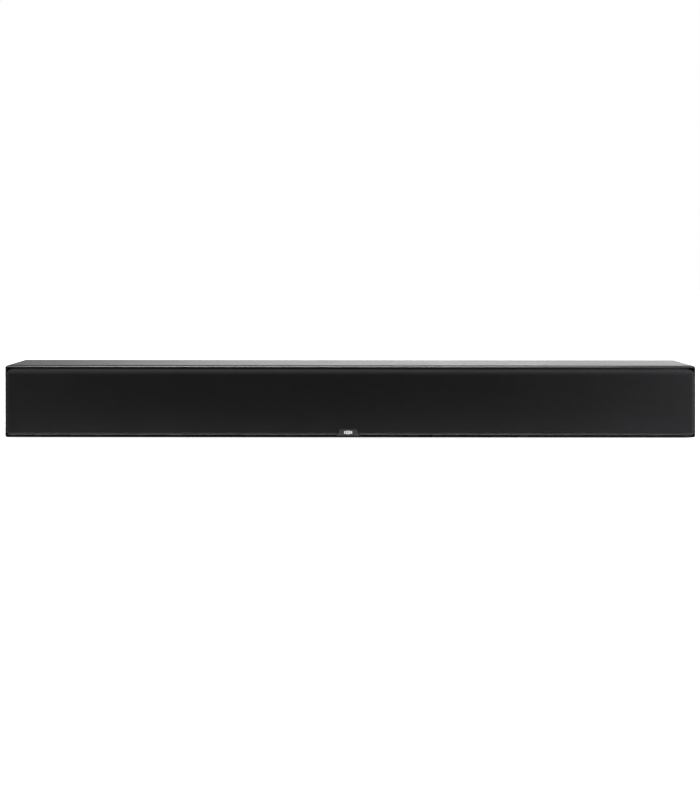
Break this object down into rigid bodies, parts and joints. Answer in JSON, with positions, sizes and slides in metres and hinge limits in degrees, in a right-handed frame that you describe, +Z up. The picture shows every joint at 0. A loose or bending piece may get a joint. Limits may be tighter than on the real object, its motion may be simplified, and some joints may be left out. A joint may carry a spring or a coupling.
{
  "type": "soundbar",
  "caption": "Long low passive soundbar: black cabinet, proud cloth grille that pulls off, row of woofers and dome tweeters behind it, push terminals at the back.",
  "frame": {"origin": "middle of the bounding box's bottom face, on the surface that the feet stand on", "axes": "+X to the right as a listener sees it, +Y towards the back, +Z up; the grille faces -Y"},
  "size_m": [1.22, 0.114, 0.129],
  "materials": {
    "cabinet_black": "fine moulded grain, low sheen",
    "baffle_board": "fibreboard painted matt black",
    "fibreboard": "bare fibreboard",
    "foam_seal": "closed-cell foam strip",
    "black_screw": "black oxide",
    "foot_rubber": "moulded rubber",
    "cast_zinc": "die-cast zinc, dull",
    "insert_brass": "machined brass",
    "terminal_black": "moulded, satin",
    "contact_brass": "bright stamped strip",
    "board_green": "solder mask on glass laminate",
    "component_body": "varnished windings, film and cement bodies",
    "lead_sheath": "soft sheath",
    "wadding": "loose polyester fibre",
    "basket_steel": "stamped and painted black",
    "ferrite": "ground ferrite",
    "zinc_steel": "zinc-plated steel",
    "spider_cloth": "resin-treated cotton",
    "frame_plastic": "moulded, plain",
    "grille_fabric": "tight open-weave polyester cloth",
    "badge_plastic": "dark plate with pale raised bars",
    "roll_rubber": "smooth butyl",
    "cone_pulp": "pressed pulp, coated",
    "coil_copper": "enamelled copper winding on an aluminium former",
    "dome_silk": "coated woven silk",
    "lever_red": "moulded red",
    "lever_black": "moulded black"
  },
  "bodies": {
    "cabinet": {"cabinet_shell": "cabinet_black", "front_baffle": "baffle_board", "rear_panel": "cabinet_black", "chamber_dividers": "fibreboard", "rear_gasket": "foam_seal", "rear_panel_screws": "black_screw", "rubber_feet": "foot_rubber", "keyhole_hangers": "cast_zinc", "bracket_inserts": "insert_brass", "terminal_cup": "terminal_black", "terminal_contacts": "contact_brass", "crossover_boards": "board_green", "crossover_components": "component_body", "wiring_loom": "lead_sheath", "damping_wadding": "wadding", "peg_sockets": "foot_rubber", "woofer_baskets": "basket_steel", "woofer_magnets": "ferrite", "woofer_pole_plates": "zinc_steel", "woofer_spiders": "spider_cloth", "driver_screws": "black_screw", "tweeter_faceplates": "terminal_black", "tweeter_motors": "zinc_steel", "tweeter_surrounds": "roll_rubber", "woofer_1_surround": "roll_rubber", "woofer_2_surround": "roll_rubber", "woofer_3_surround": "roll_rubber", "woofer_4_surround": "roll_rubber", "woofer_5_surround": "roll_rubber", "woofer_6_surround": "roll_rubber"},
    "grille": {"grille_frame": "frame_plastic", "grille_cloth": "grille_fabric", "grille_badge": "badge_plastic"},
    "woofer_1_diaphragm": {"woofer_1_cone": "cone_pulp", "woofer_1_dust_cap": "cone_pulp", "woofer_1_voice_coil": "coil_copper"},
    "woofer_2_diaphragm": {"woofer_2_cone": "cone_pulp", "woofer_2_dust_cap": "cone_pulp", "woofer_2_voice_coil": "coil_copper"},
    "woofer_3_diaphragm": {"woofer_3_cone": "cone_pulp", "woofer_3_dust_cap": "cone_pulp", "woofer_3_voice_coil": "coil_copper"},
    "woofer_4_diaphragm": {"woofer_4_cone": "cone_pulp", "woofer_4_dust_cap": "cone_pulp", "woofer_4_voice_coil": "coil_copper"},
    "woofer_5_diaphragm": {"woofer_5_cone": "cone_pulp", "woofer_5_dust_cap": "cone_pulp", "woofer_5_voice_coil": "coil_copper"},
    "woofer_6_diaphragm": {"woofer_6_cone": "cone_pulp", "woofer_6_dust_cap": "cone_pulp", "woofer_6_voice_coil": "coil_copper"},
    "tweeter_1_diaphragm": {"tweeter_1_dome": "dome_silk"},
    "tweeter_2_diaphragm": {"tweeter_2_dome": "dome_silk"},
    "tweeter_3_diaphragm": {"tweeter_3_dome": "dome_silk"},
    "lever_1": {"terminal_lever_1": "lever_black"},
    "lever_2": {"terminal_lever_2": "lever_red"},
    "lever_3": {"terminal_lever_3": "lever_black"},
    "lever_4": {"terminal_lever_4": "lever_red"},
    "lever_5": {"terminal_lever_5": "lever_black"},
    "lever_6": {"terminal_lever_6": "lever_red"}
  },
  "joints": [
    {"name": "grille_pull_off", "type": "slide", "parent": "cabinet", "child": "grille", "axis": [0, -1, 0], "range_m": [0, 0.12]},
    {"name": "woofer_1_excursion", "type": "slide", "parent": "cabinet", "child": "woofer_1_diaphragm", "axis": [0, -1, 0], "range_m": [-0.004, 0.004], "stiffness_N_per_m": 900, "deforming": ["woofer_1_surround", "woofer_spiders"]},
    {"name": "woofer_2_excursion", "type": "slide", "parent": "cabinet", "child": "woofer_2_diaphragm", "axis": [0, -1, 0], "range_m": [-0.004, 0.004], "stiffness_N_per_m": 900, "deforming": ["woofer_2_surround", "woofer_spiders"]},
    {"name": "woofer_3_excursion", "type": "slide", "parent": "cabinet", "child": "woofer_3_diaphragm", "axis": [0, -1, 0], "range_m": [-0.004, 0.004], "stiffness_N_per_m": 900, "deforming": ["woofer_3_surround", "woofer_spiders"]},
    {"name": "woofer_4_excursion", "type": "slide", "parent": "cabinet", "child": "woofer_4_diaphragm", "axis": [0, -1, 0], "range_m": [-0.004, 0.004], "stiffness_N_per_m": 900, "deforming": ["woofer_4_surround", "woofer_spiders"]},
    {"name": "woofer_5_excursion", "type": "slide", "parent": "cabinet", "child": "woofer_5_diaphragm", "axis": [0, -1, 0], "range_m": [-0.004, 0.004], "stiffness_N_per_m": 900, "deforming": ["woofer_5_surround", "woofer_spiders"]},
    {"name": "woofer_6_excursion", "type": "slide", "parent": "cabinet", "child": "woofer_6_diaphragm", "axis": [0, -1, 0], "range_m": [-0.004, 0.004], "stiffness_N_per_m": 900, "deforming": ["woofer_6_surround", "woofer_spiders"]},
    {"name": "tweeter_1_excursion", "type": "slide", "parent": "cabinet", "child": "tweeter_1_diaphragm", "axis": [0, -1, 0], "range_m": [-0.0005, 0.0005], "stiffness_N_per_m": 800, "deforming": ["tweeter_surrounds"]},
    {"name": "tweeter_2_excursion", "type": "slide", "parent": "cabinet", "child": "tweeter_2_diaphragm", "axis": [0, -1, 0], "range_m": [-0.0005, 0.0005], "stiffness_N_per_m": 800, "deforming": ["tweeter_surrounds"]},
    {"name": "tweeter_3_excursion", "type": "slide", "parent": "cabinet", "child": "tweeter_3_diaphragm", "axis": [0, -1, 0], "range_m": [-0.0005, 0.0005], "stiffness_N_per_m": 800, "deforming": ["tweeter_surrounds"]},
    {"name": "lever_1_press", "type": "hinge", "parent": "cabinet", "child": "lever_1", "pos_m": [-0.071, 0.048, 0.081], "axis": [-1, 0, 0], "range_deg": [0, 14], "stiffness_Nm_per_rad": 0.3, "springref_deg": -14.32, "deforming": ["terminal_contacts"]},
    {"name": "lever_2_press", "type": "hinge", "parent": "cabinet", "child": "lever_2", "pos_m": [-0.049, 0.048, 0.081], "axis": [-1, 0, 0], "range_deg": [0, 14], "stiffness_Nm_per_rad": 0.3, "springref_deg": -14.32, "deforming": ["terminal_contacts"]},
    {"name": "lever_3_press", "type": "hinge", "parent": "cabinet", "child": "lever_3", "pos_m": [-0.011, 0.048, 0.081], "axis": [-1, 0, 0], "range_deg": [0, 14], "stiffness_Nm_per_rad": 0.3, "springref_deg": -14.32, "deforming": ["terminal_contacts"]},
    {"name": "lever_4_press", "type": "hinge", "parent": "cabinet", "child": "lever_4", "pos_m": [0.011, 0.048, 0.081], "axis": [-1, 0, 0], "range_deg": [0, 14], "stiffness_Nm_per_rad": 0.3, "springref_deg": -14.32, "deforming": ["terminal_contacts"]},
    {"name": "lever_5_press", "type": "hinge", "parent": "cabinet", "child": "lever_5", "pos_m": [0.049, 0.048, 0.081], "axis": [-1, 0, 0], "range_deg": [0, 14], "stiffness_Nm_per_rad": 0.3, "springref_deg": -14.32, "deforming": ["terminal_contacts"]},
    {"name": "lever_6_press", "type": "hinge", "parent": "cabinet", "child": "lever_6", "pos_m": [0.071, 0.048, 0.081], "axis": [-1, 0, 0], "range_deg": [0, 14], "stiffness_Nm_per_rad": 0.3, "springref_deg": -14.32, "deforming": ["terminal_contacts"]}
  ]
}
